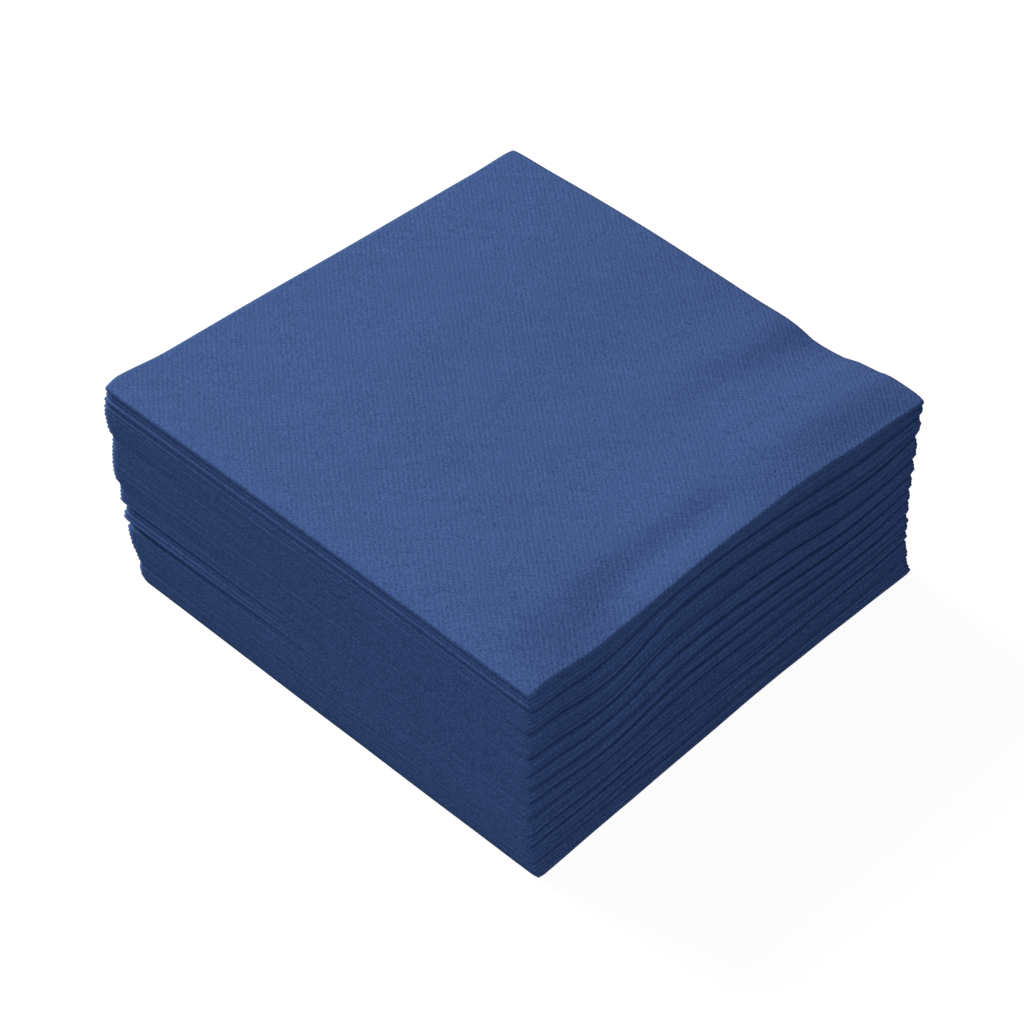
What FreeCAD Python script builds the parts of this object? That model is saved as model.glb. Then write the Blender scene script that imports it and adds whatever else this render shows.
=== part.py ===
import FreeCAD, Part
import math
import os

# A stack of square paper napkins. Each napkin is one soft sheet, folded in
# half along its front side and folded in half again along its right side, so
# that four plies lie on each other. X runs from the open side to the outer
# fold, Y from the first fold to the open back, and Z is up. The origin is at
# the middle of the underside. Lengths are in millimetres.

SIZES = {
    # the flat sheet and how tightly it is folded
    "sheet_side": 400.0,
    "paper_thickness": 0.33,
    "ply_gap": 0.052,
    "first_fold_facets": 2,
    "outer_fold_facets": 3,
    # the stack
    "napkin_count": 50,
    "level_napkins": 10,
    "napkin_gap": 0.13,
    "lean_left": 2.8,
    "lean_front": 1.8,
    "lean_power": 5,
    "bundle_bulge": 0.7,
    "bundle_slant": 0.8,
    "hand_scatter": 0.12,
    # where the top napkin bends, from the first fold to the valley at the back
    "bend_front": 60.0,
    "shoulder": 78.0,
    "bend_middle": 62.0,
    "valley": 54.0,
    # where the outer folds dip and crest, from the middle
    "dip_place": -68.0,
    "crest_place": -22.0,
    # how far the top napkin stands above the lowest point of the valley
    "rise_left_corner": 12.0,
    "rise_back_corner": 9.0,
    "rise_front_corner": 9.0,
    "rise_right_corner": 3.5,
    "rise_dip": 7.8,
    "rise_crest": 11.2,
    "rise_bend_front": 9.2,
    "rise_shoulder": 10.6,
    "rise_bend_middle": 8.4,
}

# The napkins were pushed together a few at a time. These are the tops of the
# bundles, as shares of the whole count.
BUNDLE_TOPS = (0.10, 0.20, 0.28, 0.40, 0.50, 0.62, 0.74, 0.88, 1.0)


def make_sheet(doc):
    """Put the driving dimensions in a spreadsheet, one alias to a row."""
    sheet = doc.addObject("Spreadsheet::Sheet", "Sizes")
    for row, (name, value) in enumerate(SIZES.items(), start=1):
        sheet.set(f"A{row}", name)
        sheet.set(f"B{row}", str(value))
        sheet.setAlias(f"B{row}", name)
    doc.recompute()
    return sheet


def fold_angles(stops, facets):
    """Stations along a strip folded once: out below, round the fold, back above.

    Each station is a stop and an angle. The stops run from the free edge to
    the fold, and the angle is a quarter turn down on the lower ply and a
    quarter turn up on the upper one.
    """
    quarter = math.pi / 2
    below = [(stop, -quarter) for stop in range(stops)]
    above = [(stop, quarter) for stop in reversed(range(stops))]
    turn = [(stops - 1, -quarter + math.pi * step / facets) for step in range(1, facets)]
    return below + turn + above


class FoldedSheet:
    """The folded form that all the napkins share, before it is stacked."""

    def __init__(self, sizes):
        paper = sizes("paper_thickness")
        pitch = paper + sizes("ply_gap")
        self.half_paper = paper / 2
        self.first_radius = pitch / 2
        self.outer_radius = pitch
        self.thickness = 3 * pitch + paper
        first_reach = self.first_radius + self.half_paper
        outer_reach = self.outer_radius + first_reach
        half = sizes("sheet_side") / 4
        self.plan = self.lay_plan(sizes, half, half - first_reach, half - outer_reach)
        self.columns = fold_angles(3, int(sizes("outer_fold_facets")))
        self.rows = fold_angles(4, int(sizes("first_fold_facets")))

    def lay_plan(self, sizes, half, front, right):
        """Crease points of the napkin seen from above, as (x, y, rise).

        Each row runs from the open left side over the bend to the outer fold,
        and the rows run from the open back to the first fold. The two inner
        rows start at the corners, so that the plain left half is a fan of flat
        facets.
        """
        left_corner = (-half, -front, sizes("rise_left_corner"))
        back_corner = (-half, half, sizes("rise_back_corner"))
        dip = sizes("dip_place")
        crest = sizes("crest_place")
        return [
            [back_corner,
             (sizes("valley"), half, 0.0),
             (right, half, sizes("rise_right_corner"))],
            [back_corner,
             (sizes("bend_middle"), crest, sizes("rise_bend_middle")),
             (right, crest, sizes("rise_crest"))],
            [left_corner,
             (sizes("shoulder"), dip, sizes("rise_shoulder")),
             (right, dip, sizes("rise_dip"))],
            [left_corner,
             (sizes("bend_front"), -front, sizes("rise_bend_front")),
             (right, -front, sizes("rise_front_corner"))],
        ]

    def point(self, row, column, side, swell):
        """Where a point of one side of the sheet lies in the folded napkin."""
        row_stop, row_angle = row
        column_stop, column_angle = column
        x, y, rise = self.plan[row_stop][column_stop]
        first = self.first_radius + side * self.half_paper
        y -= first * math.cos(row_angle)
        outer = self.outer_radius + first * math.sin(row_angle)
        x += outer * math.cos(column_angle)
        z = self.thickness / 2 + outer * math.sin(column_angle) + rise * swell
        return FreeCAD.Vector(x, y, z)

    def solid(self, swell):
        """One napkin, its crease points lifted by a share of their full rise."""
        skins = []
        for side in (-1, 1):
            skins.append([[self.point(row, column, side, swell) for column in self.columns]
                          for row in self.rows])
        inner, outer = skins
        faces = []
        for skin in skins:
            for low, high in zip(skin, skin[1:]):
                for place in range(len(low) - 1):
                    faces += facets(low[place], low[place + 1], high[place + 1], high[place])
        rim = rim_points(inner), rim_points(outer)
        for place in range(len(rim[0]) - 1):
            faces += facets(rim[0][place], rim[0][place + 1], rim[1][place + 1], rim[1][place])
        return closed_solid(faces)


def rim_points(skin):
    """The edge of the sheet, once round."""
    first = skin[0]
    last = list(reversed(skin[-1]))
    right = [row[-1] for row in skin[1:-1]]
    left = [row[0] for row in reversed(skin[1:-1])]
    return first + right + last + left + first[:1]


def facets(a, b, c, d):
    """Two flat facets for the four-sided patch a, b, c, d.

    The patch is cut from its left front corner to its right back one, so that
    plies and napkins that lie on each other bend along the same lines. A
    patch that starts at one point gives a single facet.
    """
    if abs((a - c).x + (a - c).y) >= abs((b - d).x + (b - d).y):
        corners = (a, b, c), (a, c, d)
    else:
        corners = (b, c, d), (b, d, a)
    kept = []
    for triple in corners:
        sides = [(triple[place] - triple[place - 1]).Length for place in range(3)]
        if min(sides) > 1e-6:
            kept.append(Part.Face(Part.makePolygon(list(triple) + [triple[0]])))
    return kept


def closed_solid(faces):
    """Make one solid of flat facets and join those that lie in one plane."""
    solid = Part.makeSolid(Part.Shell(faces))
    if solid.Volume < 0:
        solid.reverse()
    return solid.removeSplitter()


def bundle_place(number, count):
    """How far up its bundle a napkin lies, from 0 to 1."""
    tops = [0] + [round(share * count) for share in BUNDLE_TOPS]
    for bottom, top in zip(tops, tops[1:]):
        if number < top:
            return (number + 0.5 - bottom) / (top - bottom)
    return 1.0


def shift(sizes, number, count):
    """How far a napkin lies from the middle, in X and in Y."""
    share = number / (count - 1)
    lean = 1 - (1 - share) ** sizes("lean_power")
    place = bundle_place(number, count)
    slant = sizes("bundle_slant") * (place - 0.5)
    scatter = sizes("hand_scatter")
    x = -sizes("lean_left") * lean + sizes("bundle_bulge") * math.sin(math.pi * place)
    y = -sizes("lean_front") * lean
    return x + slant + scatter * math.sin(2.4 * number), y + slant + scatter * math.cos(3.7 * number)


def stack_napkins(doc, sizes):
    """One object for each napkin, from the lowest to the top one."""
    form = FoldedSheet(sizes)
    count = int(sizes("napkin_count"))
    level = int(sizes("level_napkins"))
    pitch = form.thickness + sizes("napkin_gap")
    level_form = form.solid(0.0)
    napkins = []
    for number in range(count):
        swell = max(0, number + 1 - level) / (count - level)
        napkin = doc.addObject("Part::Feature", f"Napkin{number + 1:02d}")
        napkin.Label = f"napkin_{number + 1:02d}"
        napkin.Shape = form.solid(swell) if swell else level_form
        x, y = shift(sizes, number, count)
        napkin.Placement.Base = FreeCAD.Vector(x, y, number * pitch)
        napkins.append(napkin)
    return napkins


def centre(napkins):
    """Move the stack so that the middle of its footprint is at the origin."""
    box = FreeCAD.BoundBox()
    for napkin in napkins:
        box.add(napkin.Shape.optimalBoundingBox())
    for napkin in napkins:
        base = napkin.Placement.Base
        napkin.Placement.Base = base - FreeCAD.Vector(box.Center.x, box.Center.y, 0)


def check(doc, napkins):
    """Stop if an object failed or a napkin isn't one sound solid."""
    for item in doc.Objects:
        if "Invalid" in item.State or "Error" in item.State:
            raise RuntimeError(f"{item.Label} could not be made")
    for napkin in napkins:
        shape = napkin.Shape
        if shape.isNull() or not shape.isValid() or len(shape.Solids) != 1:
            raise RuntimeError(f"{napkin.Label} is not one sound solid")


def main():
    doc = FreeCAD.newDocument("NapkinStack")
    sheet = make_sheet(doc)
    napkins = stack_napkins(doc, sheet.get)
    centre(napkins)
    doc.recompute()
    check(doc, napkins)
    os.makedirs("parts", exist_ok=True)
    for napkin in napkins:
        napkin.Shape.exportStep(f"parts/{napkin.Label}.step")


main()
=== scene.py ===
import math

import bpy
from mathutils import Matrix, Vector


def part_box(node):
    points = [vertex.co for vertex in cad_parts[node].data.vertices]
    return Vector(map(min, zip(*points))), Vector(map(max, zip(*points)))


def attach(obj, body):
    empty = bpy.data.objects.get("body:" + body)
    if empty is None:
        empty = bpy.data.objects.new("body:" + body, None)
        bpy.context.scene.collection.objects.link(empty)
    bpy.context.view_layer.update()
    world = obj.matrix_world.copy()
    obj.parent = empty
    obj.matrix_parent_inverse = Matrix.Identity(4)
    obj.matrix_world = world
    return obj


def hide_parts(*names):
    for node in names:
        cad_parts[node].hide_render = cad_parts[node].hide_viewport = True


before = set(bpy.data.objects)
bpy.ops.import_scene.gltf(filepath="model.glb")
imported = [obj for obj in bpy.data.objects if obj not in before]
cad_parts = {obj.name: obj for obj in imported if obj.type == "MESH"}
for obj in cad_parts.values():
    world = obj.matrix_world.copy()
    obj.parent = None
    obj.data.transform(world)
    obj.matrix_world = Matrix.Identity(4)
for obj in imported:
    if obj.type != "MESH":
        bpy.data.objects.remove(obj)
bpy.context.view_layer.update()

# The camera stands where the photograph was taken from: over the corner where
# both folds meet, looking down at a bit under half a right angle. It is set
# out from the middle of the lowest napkin.
NAPKINS = sorted(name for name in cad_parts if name.startswith("napkin_"))
CAMERA_TURN = math.radians(43.85)
CAMERA_HEIGHT = math.radians(43.64)
CAMERA_DISTANCE = 0.9372
CAMERA_SLIDE = (-0.0051, 0.0232)
LENS_PIXELS = 2534.7
IMAGE_PIXELS = 1024
SENSOR_MM = 36.0


def middle_of(node):
    """The middle of a node's box, seen from above."""
    low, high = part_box(node)
    return (low[0] + high[0]) / 2, (low[1] + high[1]) / 2


backwards = Vector((math.sin(CAMERA_TURN) * math.cos(CAMERA_HEIGHT),
                    -math.cos(CAMERA_TURN) * math.cos(CAMERA_HEIGHT),
                    math.sin(CAMERA_HEIGHT)))
rightwards = Vector((math.cos(CAMERA_TURN), math.sin(CAMERA_TURN), 0))
upwards = backwards.cross(rightwards)
place = Vector((*middle_of(NAPKINS[0]), 0)) + backwards * CAMERA_DISTANCE
place += rightwards * CAMERA_SLIDE[0] + upwards * CAMERA_SLIDE[1]

camera_data = bpy.data.cameras.new("camera")
camera_data.sensor_width = SENSOR_MM
camera_data.lens = SENSOR_MM * LENS_PIXELS / IMAGE_PIXELS
camera = bpy.data.objects.new("camera", camera_data)
turn = Matrix((rightwards, upwards, backwards)).transposed().to_4x4()
camera.matrix_world = Matrix.Translation(place) @ turn
bpy.context.collection.objects.link(camera)
bpy.context.scene.camera = camera


# The paper: soft airlaid tissue, dyed navy in the pulp and embossed between
# rollers with fine slanted ribs, so that it feels like linen. It is matt, with
# a short nap of loose fibres and a slightly cloudy dye.
MM = 0.001
PAPER_COLOUR = (0.075, 0.137, 0.330, 1)
DEEP_COLOUR = (0.032, 0.065, 0.188, 1)
RIB_PITCH = 1.72 * MM
RIB_TURN = math.radians(50)
KNOTS_TO_RIBS = 1.15
RIB_WAVER = 1.5
EMBOSS_DEPTH = 0.16 * MM
FIBRE_SCALE = 1500.0
CLOUD_SCALES = (36.0, 220.0)
# How much each pattern counts for the height of the paper, and for its tone. The tone of the ribs, knots and
# fibres follows their height, so it is painted shade in their hollows and painted light on their crests. For
# the fibres it is also the paper's own mottle.
RIB_HEIGHT = 0.20
KNOT_HEIGHT = 0.12
FIBRE_HEIGHT = 2.0
RIB_PAINTED_SHADE = 0.05
KNOT_PAINTED_SHADE = 0.04
FIBRE_MOTTLE_AND_PAINTED_SHADE = 3.0
CLOUD_TONE = 0.35
MIDDLE_TONE = 0.60


class Socket:
    """The output of a node. Arithmetic on it adds Math nodes to its tree."""

    def __init__(self, graph, socket):
        self.graph = graph
        self.socket = socket

    def output(self, name):
        return Socket(self.graph, self.socket.node.outputs[name])

    def maths(self, operation, *others):
        return self.graph.node("ShaderNodeMath", {"operation": operation}, self, *others)

    def limited(self, low, high):
        return self.graph.node("ShaderNodeClamp", {}, self, low, high)

    def fades(self, near, far):
        """1 up to near, falling smoothly to 0 at far."""
        settings = {"interpolation_type": "SMOOTHSTEP"}
        return self.graph.node("ShaderNodeMapRange", settings, self, near, far, 1.0, 0.0)

    def __add__(self, other):
        return self.maths("ADD", other)

    def __sub__(self, other):
        return self.maths("SUBTRACT", other)

    def __mul__(self, other):
        return self.maths("MULTIPLY", other)

    def __truediv__(self, other):
        return self.maths("DIVIDE", other)

    def __rsub__(self, other):
        return self.graph.node("ShaderNodeMath", {"operation": "SUBTRACT"}, other, self)

    __radd__ = __add__
    __rmul__ = __mul__


class Graph:
    """A node tree that is being built."""

    def __init__(self, tree):
        self.tree = tree

    def node(self, kind, settings, *values, **named):
        """Add a node, set its settings, then feed its sockets with values or links."""
        node = self.tree.nodes.new(kind)
        for name, value in settings.items():
            if name == "bends":
                self.set_bends(node.mapping, value)
            else:
                setattr(node, name, value)
        for name, value in list(enumerate(values)) + list(named.items()):
            if isinstance(value, Socket):
                self.tree.links.new(value.socket, node.inputs[name])
            else:
                node.inputs[name].default_value = value
        return Socket(self, node.outputs[0]) if len(node.outputs) else node

    @staticmethod
    def set_bends(mapping, bends):
        """Lead a curve through points that lie between 0 and 1."""
        curve = mapping.curves[0]
        while len(curve.points) < len(bends):
            curve.points.new(0.5, 0.5)
        for point, spot in zip(curve.points, bends):
            point.location = spot
        mapping.update()


def embossed_paper():
    material = bpy.data.materials.new("navy_airlaid_paper")
    material.use_nodes = True
    graph = Graph(material.node_tree)
    graph.tree.nodes.clear()
    sheet = graph.node("ShaderNodeAttribute", {"attribute_name": "sheet"}).output("Vector")
    parts = graph.node("ShaderNodeSeparateXYZ", {}, sheet)
    across = parts.output("X") * math.cos(RIB_TURN) + parts.output("Y") * math.sin(RIB_TURN)
    along_rib = parts.output("Y") * math.cos(RIB_TURN) - parts.output("X") * math.sin(RIB_TURN)
    objects = graph.node("ShaderNodeTexCoord", {}).output("Object")
    fibres = graph.node("ShaderNodeTexNoise", {}, Vector=objects, Scale=FIBRE_SCALE, Detail=2.0,
                        Roughness=0.7)
    streak = graph.node("ShaderNodeCombineXYZ", {}, across * CLOUD_SCALES[0], along_rib * CLOUD_SCALES[1],
                        0.0)
    clouds = graph.node("ShaderNodeTexNoise", {}, Vector=streak, Scale=1.0, Detail=3.0, Roughness=0.55)
    round_once = 2 * math.pi / RIB_PITCH
    ribs = (across * round_once + fibres * RIB_WAVER).maths("SINE")
    knots = (along_rib * round_once * KNOTS_TO_RIBS + fibres * RIB_WAVER).maths("SINE")
    height = ribs * RIB_HEIGHT + knots * KNOT_HEIGHT + fibres * FIBRE_HEIGHT
    bump = graph.node("ShaderNodeBump", {}, Strength=1.0, Distance=EMBOSS_DEPTH, Height=height)
    # The tone mixes the cloudy dye and the fibres' own mottle with painted shade. It is lighter where the
    # ribs, knots and fibres stand high and darker in their hollows.
    tone = ((clouds - 0.5) * CLOUD_TONE + (fibres - 0.5) * FIBRE_MOTTLE_AND_PAINTED_SHADE
            + ribs * RIB_PAINTED_SHADE + knots * KNOT_PAINTED_SHADE + MIDDLE_TONE)
    # Sockets 6 and 7 take the two colours of a mix, and output 2 gives the mixed one.
    mix = graph.node("ShaderNodeMix", {"data_type": "RGBA"}, tone.limited(0.0, 1.0)).socket.node
    mix.inputs[6].default_value = DEEP_COLOUR
    mix.inputs[7].default_value = PAPER_COLOUR
    shader = graph.node(
        "ShaderNodeBsdfPrincipled", {},
        **{"Base Color": Socket(graph, mix.outputs[2]), "Roughness": 0.93, "Normal": bump,
           "Specular IOR Level": 0.08, "Sheen Weight": 0.02, "Sheen Roughness": 0.6})
    graph.node("ShaderNodeOutputMaterial", {}, Surface=shader)
    return material


paper = embossed_paper()


# One napkin: a sheet 400 mm square, folded in half along its front side (-Y)
# and again along its right side (+X) by the folding machine. The folds are
# pressed but spring back a little, and the free edges don't meet exactly.
PAPER_THICKNESS = 0.33 * MM
PLY_PITCH = 0.382 * MM
NAPKIN_THICKNESS = 3 * PLY_PITCH + PAPER_THICKNESS
FLAT_SIDE = 0.4
HALF = FLAT_SIDE / 4
PLY_SLACK = 0.8 * MM

# The cells of the mesh along one ply and round each fold. A share of the
# cells' spacing is eased, so that they are closest at the folds and edges.
RUN_CELLS = 30
TOP_RUN_CELLS = 64
OUTER_FOLD_CELLS = 8
FIRST_FOLD_CELLS = 6
EASED_SHARE = 0.7

# Heights in millimetres that the top napkin leaves a plane by: along the outer
# folds, the back, the shoulder beside the outer folds, and the deep wave that
# the upper folds sag in. The back is read from the left, the rest from the
# front. No wave goes past the limit.
FOLD_SIDE_WAVE = ((-100, -0.2), (-86, -0.5), (-70, -1.3), (-57, -0.9), (-44, 0.8), (-28, 2.5), (-8, 3.3),
                  (20, 3.4), (35, 3.2), (63, 1.1), (100, 0))
BACK_WAVE = ((-100, 0.8), (-94, 1.4), (-75, 2.1), (-33, 2.1), (3, 0.4), (26, -1.1), (36, -1.4),
             (45, -2.8), (54, -4.7), (62, -4.5), (70, -2.6), (79, -1.6), (88, -0.1), (100, -0.6))
SHOULDER_WAVE = ((-100, 0), (-85, 1.9), (-65, 3.4), (-50, 2.6), (-35, 0.8), (-20, 0.5), (0, 1.8),
                 (25, 1.7), (50, 2.6), (75, 3.0), (100, 1.2))
SAG_WAVE = ((-100, 0), (-85, -0.9), (-67, -3.1), (-52, -1.4), (-38, 1.9), (-26, 3.2), (-5, 2.7),
            (20, 1.0), (40, -1.5), (60, -3.0), (80, -1.9), (100, 0.3))
WAVE_LIMIT = 5.0
CORNER_RISE = {"left": 12.4, "back": 8.3, "front": 7.6, "right": 3.3}

# How far in from its side each wave reaches, in metres, and how much the
# valley at the back drifts to the right on its way to the front.
FOLD_SIDE_REACH = 0.055
BACK_REACH = 0.10
SAG_REACH = 0.05
SHOULDER_INNER = (0.03, 0.12)
SHOULDER_OUTER = (0.002, 0.026)
VALLEY_DRIFT = 0.12

# A small hollow behind the shoulder, and the unevenness of the middle.
HOLLOW_PLACE = (0.087, -0.022)
HOLLOW_WIDTH = (0.0, 0.013)
HOLLOW_LENGTH = (0.018, 0.045)
HOLLOW_DEPTH = 1.8 * MM
UNEVEN_SCALE = 15.0
UNEVEN_HEIGHT = 5.0 * MM

# The round folds of the top napkins: the hump behind a fold, the pressed nose
# of the fold, and how far the front of the top napkin droops.
HUMP_BAND = (0.004, 0.03)
NOSE_BAND = (0.0, 0.006)
OUTER_HUMP = 0.2
FIRST_PRESS = 0.15
FIRST_PUFF_PRESS = 0.5
OUTER_PUFF_PRESS = 0.2
FRONT_DROOP = 1.0 * MM
EAR_SIZE = 0.022

# The sides of the stack: the band behind a fold that moves with it, the round
# form of a ridge of folds, and how much the folds and edges are out of line.
FOLD_BAND = (0.001, 0.016)
HELD_HEIGHTS = (0.002, 0.012)
HELD_SHARE = 0.4
RIDGE_SQUEEZE = 0.12 * MM
RIDGE_LIFT = 0.62
RIDGE_MIDDLE = 0.35
RIDGE_WANDER = 1.0 * MM
FOLD_WAVER = 2.8 * MM
BACK_BAND = (0.002, 0.022)
FRONT_GAP = 0.45 * MM
FRONT_WAVER = 0.8 * MM
FRONT_WANDER = 0.15 * MM
CORNER_BAND = (0.0, 0.003)
CORNER_PULL = 0.4 * MM
OPEN_SIDE_BAND = (0.0, 0.12)
OPEN_SIDE_TURN = 0.3

# What a napkin's place in the stack tells its tree. Level is the height of its
# underside. Swell and Sag are its shares of the relief and of the deep wave,
# and a Step is how much more it has than the napkin below. Ridge is the first
# napkin of its bundle, Ridge Size how many the bundle has, and Ridge Side how
# many napkins it lies above the bundle's middle.
INPUT_NAMES = ("Level", "Swell", "Swell Step", "Shift X", "Shift Y", "Ridge", "Ridge Side", "Ridge Size",
               "Ridge Depth", "Outer Bead", "Sag", "Sag Step", "Left Reach", "Left Inset", "Front Inset",
               "Foot", "Puff", "Puff Below", "Ear", "Seed")


def wave(value, points):
    """The height in metres of a smooth curve through points, at value metres."""
    first, last = points[0][0], points[-1][0]
    bends = [((spot - first) / (last - first), (height + WAVE_LIMIT) / (2 * WAVE_LIMIT))
             for spot, height in points]
    share = (value / MM - first) / (last - first)
    curve = value.graph.node("ShaderNodeFloatCurve", {"bends": bends}, 1.0, share)
    return (curve * (2 * WAVE_LIMIT) - WAVE_LIMIT) * MM


def noise(graph, scale, *parts):
    """Smooth noise about 0, within half a unit of it."""
    spot = graph.node("ShaderNodeCombineXYZ", {}, *parts)
    return graph.node("ShaderNodeTexNoise", {}, Vector=spot, Scale=scale, Detail=2.0) - 0.5


def strip(share, cells, fold_cells):
    """Where a station of a strip folded once lies: how far from the fold, and the fold's angle."""
    fold_share = fold_cells / (2 * cells + fold_cells)
    turned = ((share * 2 - 1) / fold_share).limited(-1.0, 1.0)
    run = (((share * 2 - 1).maths("ABSOLUTE") - fold_share) / (1 - fold_share)).limited(0.0, 1.0)
    eased = 0.5 - (run * math.pi).maths("COSINE") * 0.5
    reach = run * (1 - EASED_SHARE) + eased * EASED_SHARE
    return reach, turned * (math.pi / 2)


def thick_grid(graph, cells):
    """A flat grid with a thickness, smooth on its faces and sharp round its rim."""
    columns = 2 * cells + OUTER_FOLD_CELLS + 1
    rows = 2 * cells + FIRST_FOLD_CELLS + 1
    grid = graph.node("GeometryNodeMeshCube", {}, (1.0, 1.0, 1.0), columns, rows, 2)
    normal = graph.node("ShaderNodeSeparateXYZ", {}, graph.node("GeometryNodeInputNormal", {}))
    on_face = normal.output("Z").maths("ABSOLUTE").maths("GREATER_THAN", 0.5)
    return graph.node("GeometryNodeSetShadeSmooth", {"domain": "FACE"}, grid, True, on_face)


def folded(graph, given, cells):
    """Where each point of the grid lies in the folded napkin, and on the flat sheet."""
    start = graph.node("ShaderNodeSeparateXYZ", {}, graph.node("GeometryNodeInputPosition", {}))
    side = start.output("Z") * 2.0
    reach_x, angle_x = strip(start.output("X") + 0.5, cells, OUTER_FOLD_CELLS)
    reach_y, angle_y = strip(start.output("Y") + 0.5, cells, FIRST_FOLD_CELLS)
    seed = given.output("Seed")

    first_reach = PLY_PITCH / 2 + PAPER_THICKNESS / 2
    radius_y = side * (PAPER_THICKNESS / 2) + PLY_PITCH / 2
    slack_y = noise(graph, 1.0, seed * 0.7 + 5.0, angle_x.maths("SIGN") * 3.0, 0.0) * PLY_SLACK
    from_first = reach_y * (slack_y + (2 * HALF - PLY_PITCH / 2 * math.pi / 2))
    y = from_first - radius_y * angle_y.maths("COSINE") + (first_reach - HALF)

    ply = angle_y.maths("SINE")
    bead = given.output("Outer Bead")
    outer_reach = bead * (PLY_PITCH * 1.5 + PAPER_THICKNESS / 2)
    radius_x = radius_y * ply + PLY_PITCH
    middle_radius = ply * (PLY_PITCH / 2) + PLY_PITCH
    slack_x = noise(graph, 1.0, seed * 0.9, angle_x.maths("SIGN") * 3.0, ply * 4.0) * PLY_SLACK
    from_outer = reach_x * (slack_x + 2 * HALF - middle_radius * (math.pi / 2))
    x = radius_x * angle_x.maths("COSINE") * bead - from_outer + (HALF - outer_reach)
    z = radius_x * angle_x.maths("SINE") + NAPKIN_THICKNESS / 2

    flat_x = (from_outer * angle_x.maths("SIGN") + angle_x * middle_radius) * -1.0
    flat_y = from_first * angle_y.maths("SIGN") + angle_y * (PLY_PITCH / 2)
    return x, y, z, graph.node("ShaderNodeCombineXYZ", {}, flat_x, flat_y, 0.0)


def relief(graph, x, y):
    """How far the top napkin rises above a level one."""
    share_x = (x + HALF) / (2 * HALF)
    share_y = (y + HALF) / (2 * HALF)
    low = CORNER_RISE["left"] + (CORNER_RISE["front"] - CORNER_RISE["left"]) * share_x
    high = CORNER_RISE["back"] + (CORNER_RISE["right"] - CORNER_RISE["back"]) * share_x
    rise = (low + (high - low) * share_y) * MM
    rise = rise + wave(y, FOLD_SIDE_WAVE) * (HALF - x).fades(0.0, FOLD_SIDE_REACH)
    drift = x + (HALF - y) * VALLEY_DRIFT
    rise = rise + wave(drift.limited(-HALF, HALF), BACK_WAVE) * (HALF - y).fades(0.0, BACK_REACH)
    shoulder = (HALF - x).fades(*SHOULDER_INNER) - (HALF - x).fades(*SHOULDER_OUTER)
    rise = rise + wave(y, SHOULDER_WAVE) * shoulder
    hollow = (x - HOLLOW_PLACE[0]).maths("ABSOLUTE").fades(*HOLLOW_WIDTH)
    hollow = hollow * (y - HOLLOW_PLACE[1]).maths("ABSOLUTE").fades(*HOLLOW_LENGTH)
    rise = rise - hollow * HOLLOW_DEPTH
    inside = (x.maths("ABSOLUTE") - HALF * 0.2).fades(0.0, HALF * 0.75)
    inside = inside * y.maths("ABSOLUTE").fades(HALF / 2, HALF)
    return rise + noise(graph, UNEVEN_SCALE, x, y * 0.6, 8.3) * inside * UNEVEN_HEIGHT


def lifted(graph, given, x, y, z):
    """The height of each point once the napkin lies in the stack."""
    from_front = y + HALF
    from_right = HALF - x
    puff = given.output("Puff")
    at_front = from_front.fades(*HUMP_BAND)
    hump = at_front + from_right.fades(*HUMP_BAND) * (1.0 - at_front) * OUTER_HUMP
    press = (from_front.fades(*NOSE_BAND) * (puff * FIRST_PUFF_PRESS + FIRST_PRESS)
             + from_right.fades(*NOSE_BAND) * puff * OUTER_PUFF_PRESS)
    # A puffed napkin swells up from its underside, and the rest about their middle.
    pivot = (1.0 - puff.maths("SIGN")) * (NAPKIN_THICKNESS / 2)
    z = (z - pivot) * (1.0 + puff * hump - press) + pivot

    rise = relief(graph, x, y)
    swell = given.output("Swell")
    sag = wave(y, SAG_WAVE) * from_right.fades(0.0, SAG_REACH)
    sprung = hump * (given.output("Puff Below") * NAPKIN_THICKNESS - swell * swell * FRONT_DROOP)
    ear = (x + HALF + (HALF - y)).fades(0.0, EAR_SIZE) * given.output("Ear")
    stretched = rise * given.output("Swell Step") + sag * given.output("Sag Step")
    return (z * (stretched / NAPKIN_THICKNESS + 1.0)
            + rise * swell + sag * given.output("Sag") + given.output("Level") + sprung + ear)


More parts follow.
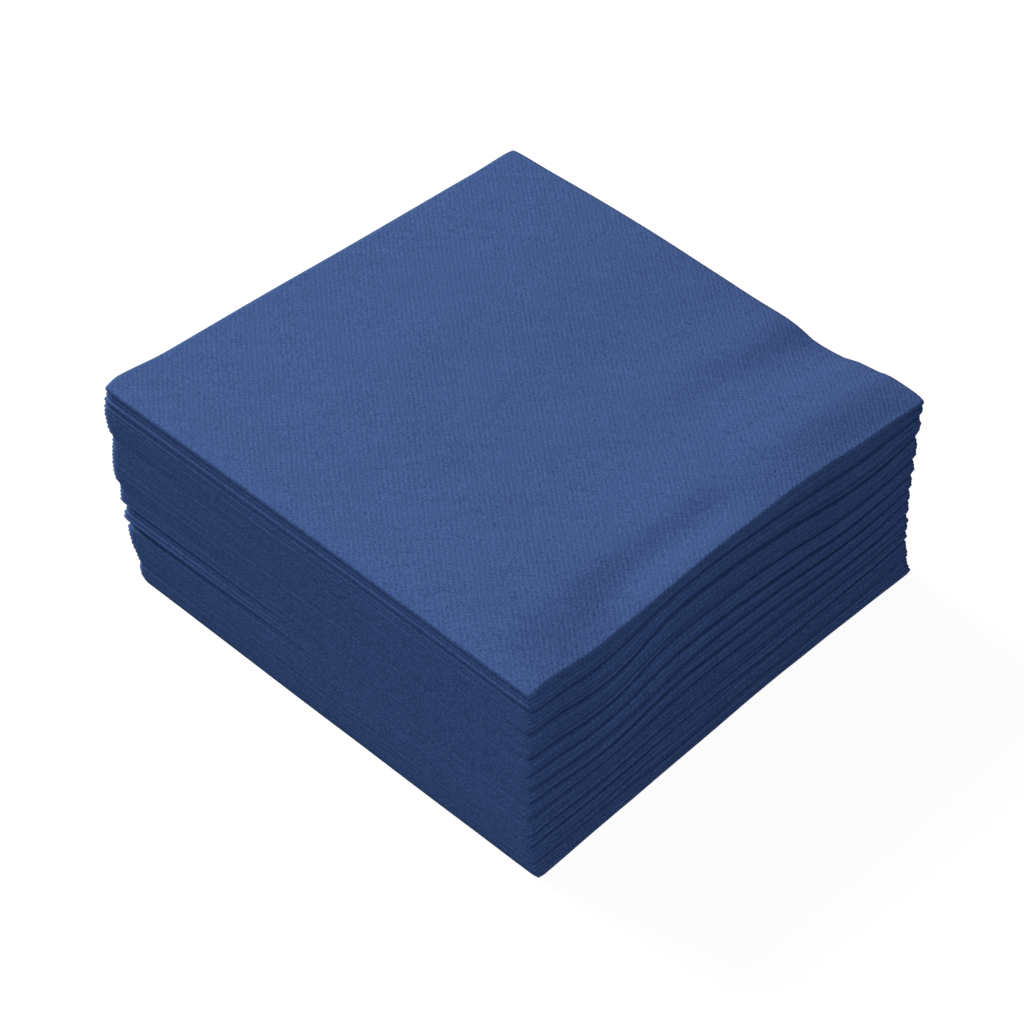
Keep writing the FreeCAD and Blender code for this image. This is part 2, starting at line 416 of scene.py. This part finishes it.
def pushed(graph, given, x, y, z, up_napkin):
    """Each point once the napkins were pushed together. up_napkin is -1 below and 1 above."""
    seed = given.output("Seed")
    near_outer = (HALF - x).fades(*FOLD_BAND)
    near_first = (y + HALF).fades(*FOLD_BAND)
    near_front = y.fades(-HALF, HALF * 1.2)
    near_left = x.fades(-HALF, HALF * 0.2)
    at_back = (HALF - y).fades(*BACK_BAND)

    # The outer folds of a bundle make one round ridge, with its nose below its middle.
    ridge_side = given.output("Ridge Side")
    up_ridge = (ridge_side + up_napkin / 2) / given.output("Ridge Size") + 0.5
    from_nose = up_ridge.limited(0.0, 1.0).maths("POWER", RIDGE_LIFT) * 2.0 - 1.0
    depth = given.output("Ridge Depth") * (1.6 - near_front * 0.6 - at_back * 0.9)
    groove = ((from_nose * from_nose - RIDGE_MIDDLE) * depth
              - noise(graph, 1.0, seed * 0.83, y * 10.0, 0.0) * FOLD_WAVER)
    wander = noise(graph, 1.0, given.output("Ridge") * 7.3, y * 24.0, 2.0) * RIDGE_WANDER
    loose = 1.0 - given.output("Level").fades(*HELD_HEIGHTS) * HELD_SHARE

    # The first folds lie in line, with a fine gap above and below each.
    gap = up_napkin * up_napkin * FRONT_GAP
    front_groove = (given.output("Left Inset") * near_left + given.output("Front Inset") + gap
                    - noise(graph, 1.0, x * 8.0, seed * 0.83, 4.0) * FRONT_WAVER)
    front_wander = noise(graph, 1.0, x * 26.0, seed * 5.1, 6.0) * FRONT_WANDER

    # The corners are a little blunt, the left edges stick out, and the foot is spread.
    pull = ((HALF - x.maths("ABSOLUTE")).fades(*CORNER_BAND)
            * (HALF - y.maths("ABSOLUTE")).fades(*CORNER_BAND) * CORNER_PULL)
    reach_left = given.output("Left Reach") * (x + HALF).fades(*OPEN_SIDE_BAND) * y.fades(-0.04, HALF)
    flare = (y + HALF) / (2 * HALF) * 2.0 - 0.9
    foot = (x + HALF) / (2 * HALF) * flare * flare * given.output("Foot")
    new_x = (x - (groove - wander) * near_outer * loose - pull * x.maths("SIGN") - reach_left
             + foot + given.output("Shift X"))
    new_y = (y + (front_groove - front_wander) * near_first - pull * y.maths("SIGN")
             - reach_left * OPEN_SIDE_TURN + given.output("Shift Y"))
    new_z = z - ridge_side * RIDGE_SQUEEZE * near_outer
    return graph.node("ShaderNodeCombineXYZ", {}, new_x, new_y, new_z)


def folded_napkin(name, cells):
    """The geometry nodes of one napkin, with the number of cells along one ply."""
    graph = Graph(bpy.data.node_groups.new(name, "GeometryNodeTree"))
    face = graph.tree.interface
    face.new_socket("Geometry", in_out="OUTPUT", socket_type="NodeSocketGeometry")
    for label in INPUT_NAMES:
        face.new_socket(label, in_out="INPUT", socket_type="NodeSocketFloat")
    given = graph.node("NodeGroupInput", {})
    sheet = thick_grid(graph, cells)
    x, y, z, flat = folded(graph, given, cells)
    up_napkin = z / (NAPKIN_THICKNESS / 2) - 1.0
    moved = pushed(graph, given, x, y, lifted(graph, given, x, y, z), up_napkin)
    store = {"data_type": "FLOAT_VECTOR", "domain": "POINT"}
    sheet = graph.node("GeometryNodeStoreNamedAttribute", store, sheet, Name="sheet", Value=flat)
    sheet = graph.node("GeometryNodeSetPosition", {}, sheet, Position=moved)
    sheet = graph.node("GeometryNodeRealizeInstances", {}, sheet)
    sheet = graph.node("GeometryNodeSetMaterial", {}, sheet, Material=paper)
    graph.node("NodeGroupOutput", {}, sheet)
    return graph.tree


def made_by(tree, name, inputs):
    """A plain mesh object that a geometry tree makes from named inputs."""
    maker = bpy.data.objects.new(name + "_maker", bpy.data.meshes.new(name + "_maker"))
    bpy.context.collection.objects.link(maker)
    modifier = maker.modifiers.new("form", "NODES")
    modifier.node_group = tree
    for item in tree.interface.items_tree:
        if item.in_out == "INPUT":
            modifier[item.identifier] = float(inputs[item.name])
    scene_now = bpy.context.evaluated_depsgraph_get()
    mesh = bpy.data.meshes.new_from_object(maker.evaluated_get(scene_now))
    bpy.data.objects.remove(maker)
    mesh.name = name
    piece = bpy.data.objects.new(name, mesh)
    bpy.context.collection.objects.link(piece)
    return piece


# The stack: the napkins lie as they left the packing machine, pushed together
# a few at a time. Each bundle of folds bulges, with a groove above and below.
RIDGE_TOPS = (4, 10, 12, 17, 21, 25, 29, 33, 40, 46, 50)
# How many napkins on each side of one its place is smoothed over.
SMOOTHED_OVER = 4
# How far the lowest napkin's right corners spread, and the share the next one keeps.
FOOT_SPREAD = 1.5 * MM
FOOT_SHARE = 0.6
# How round the outer folds are, in the stack and in its top bundle.
OUTER_BEAD = 0.6
TOP_OUTER_BEAD = 0.3
# In the lists that follow, the number of a napkin stands before its value.
# How deep the grooves between the ridges of the outer folds are, in mm.
RIDGE_DEPTHS = ((0, 0.9), (10, 1.0), (14, 1.1), (21, 1.7), (43, 2.0), (46, 1.5), (49, 1.0))
# How far the left edges of the napkins stick out, in mm.
LEFT_EDGES = ((0, 0), (4, 0), (6, -1.0), (8, -0.5), (11, 0.8), (14, 1.3), (19, 1.0), (21, 0.3), (22, 2.2),
              (26, 1.6), (27, 3.2), (31, 3.5), (34, 2.7), (38, 1.6), (39, 2.9), (43, 3.7), (46, 3.2),
              (49, 2.0))
# How far the front folds stand back, in mm: near the left corner, and all along.
LEFT_INSETS = ((0, 0.2), (2, 0), (15, 0.2), (16, 1.2), (17, 2.2), (18, -0.9), (19, -0.6), (20, 0.1),
               (21, 0.9), (22, 0), (49, 0))
FRONT_INSETS = ((0, 0), (1, -0.2), (4, -0.7), (10, -0.6), (18, 0), (45, 0), (46, 0.4), (47, -0.1), (48, 0.5),
                (49, 0.1))
# How much of the deep wave of the upper folds a napkin takes part in.
SAG_SHARES = ((0, 0), (10, 0.12), (21, 0.5), (31, 0.6), (37, 0.9), (41, 1.0), (45, 0.6), (49, 0))
# How much thicker the first folds of the top napkins are, as shares of a napkin,
# and how high the left back corners of the top napkins stand up.
TOP_PUFFS = (0.0, 0.6, 1.1)
TOP_EARS = (0.2 * MM, 0.5 * MM, 0.8 * MM)


def along(points, spot):
    """The value at a spot on a line through points."""
    for (start, low), (end, high) in zip(points, points[1:]):
        if spot <= end:
            return low + (high - low) * (spot - start) / (end - start)
    return points[-1][1]


count = len(NAPKINS)
ridges = list(zip((0,) + RIDGE_TOPS, RIDGE_TOPS))
puffs = [0.0] * (count - len(TOP_PUFFS)) + list(TOP_PUFFS)
ears = [0.0] * (count - len(TOP_EARS)) + list(TOP_EARS)
boxes = [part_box(node) for node in NAPKINS]
middles = [middle_of(node) for node in NAPKINS]
heights = [high[2] - low[2] - NAPKIN_THICKNESS for low, high in boxes]
napkin_form = folded_napkin("folded_napkin", RUN_CELLS)
top_form = folded_napkin("top_napkin", TOP_RUN_CELLS)

for number, node in enumerate(NAPKINS):
    beside = middles[max(number - SMOOTHED_OVER, 0):number + SMOOTHED_OVER + 1]
    first, last = next(ridge for ridge in ridges if number < ridge[1])
    swell = heights[number] / heights[-1]
    swell_below = heights[number - 1] / heights[-1] if number else 0.0
    piece = made_by(top_form if number == count - 1 else napkin_form, node + "_paper", {
        "Level": boxes[number][0][2],
        "Swell": swell,
        "Swell Step": max(swell - swell_below, 0.0),
        "Shift X": sum(x for x, y in beside) / len(beside),
        "Shift Y": sum(y for x, y in beside) / len(beside),
        "Ridge": first,
        "Ridge Side": number + 0.5 - (first + last) / 2,
        "Ridge Size": last - first,
        "Ridge Depth": along(RIDGE_DEPTHS, number) * MM,
        "Outer Bead": TOP_OUTER_BEAD if last == count else OUTER_BEAD,
        "Sag": along(SAG_SHARES, number),
        "Sag Step": along(SAG_SHARES, number) - along(SAG_SHARES, number - 1),
        "Left Reach": along(LEFT_EDGES, number) * MM,
        "Left Inset": along(LEFT_INSETS, number) * MM,
        "Front Inset": along(FRONT_INSETS, number) * MM,
        "Foot": FOOT_SPREAD * FOOT_SHARE ** number,
        "Puff": puffs[number],
        "Puff Below": sum(puffs[:number]),
        "Ear": ears[number],
        "Seed": number})
    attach(piece, "root")
    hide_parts(node)


# The floor is a wide pale sheet that runs out of the picture. The camera sees
# it glow, so that it stays white, and the light that it throws back on the
# napkins is dimmer and bluish.
FLOOR_SIDE = 6.0
FLOOR_BOUNCE = (0.15, 0.22, 0.32, 1)
FLOOR_SHADE = (0.15, 0.15, 0.15, 1)
FLOOR_GLOW = 0.92

half_floor = FLOOR_SIDE / 2
floor_mesh = bpy.data.meshes.new("floor")
floor_mesh.from_pydata([(-half_floor, -half_floor, 0), (half_floor, -half_floor, 0),
                        (half_floor, half_floor, 0), (-half_floor, half_floor, 0)], [], [(0, 1, 2, 3)])
floor = bpy.data.objects.new("floor", floor_mesh)
bpy.context.collection.objects.link(floor)
floor_material = bpy.data.materials.new("pale_floor")
floor_material.use_nodes = True
graph = Graph(floor_material.node_tree)
graph.tree.nodes.clear()
rays = graph.node("ShaderNodeLightPath", {})
seen = rays.output("Is Camera Ray") + rays.output("Is Glossy Ray") + rays.output("Is Transmission Ray")
bounce = graph.node("ShaderNodeBsdfDiffuse", {}, Color=FLOOR_BOUNCE)
shade = graph.node("ShaderNodeBsdfDiffuse", {}, Color=FLOOR_SHADE)
glow = graph.node("ShaderNodeEmission", {}, (1.0, 1.0, 1.0, 1), FLOOR_GLOW)
pale = graph.node("ShaderNodeAddShader", {}, shade, glow)
look = graph.node("ShaderNodeMixShader", {}, seen.limited(0.0, 1.0), bounce, pale)
graph.node("ShaderNodeOutputMaterial", {}, Surface=look)
floor_mesh.materials.append(floor_material)


# The light is a studio's: a broad lamp high on the left, a smaller one high in
# front, a weak one low before the right side, and a pale room. A lamp's size
# is in metres and its power in watts.
STACK_MIDDLE = (0, 0, 0.05)
RIGHT_SIDE_FRONT = (0.08, -0.10, 0.04)
ROOM_COLOUR = (0.62, 0.90, 1.45, 1)
ROOM_STRENGTH = 0.08


def lamp(name, size, power, spot, target):
    data = bpy.data.lights.new(name, "AREA")
    data.size = size
    data.energy = power
    made = bpy.data.objects.new(name, data)
    made.location = spot
    made.rotation_euler = (Vector(target) - Vector(spot)).to_track_quat("-Z", "Y").to_euler()
    bpy.context.collection.objects.link(made)


lamp("key", 1.0, 40.0, (-1.5, -0.05, 1.2), STACK_MIDDLE)
lamp("overhead", 0.5, 13.0, (0.75, -0.90, 1.85), STACK_MIDDLE)
lamp("fill", 0.4, 0.52, (0.38, -0.56, 0.22), RIGHT_SIDE_FRONT)
world = bpy.data.worlds.new("room")
world.use_nodes = True
world.node_tree.nodes["Background"].inputs["Color"].default_value = ROOM_COLOUR
world.node_tree.nodes["Background"].inputs["Strength"].default_value = ROOM_STRENGTH
bpy.context.scene.world = world
bpy.context.scene.view_settings.view_transform = "Standard"
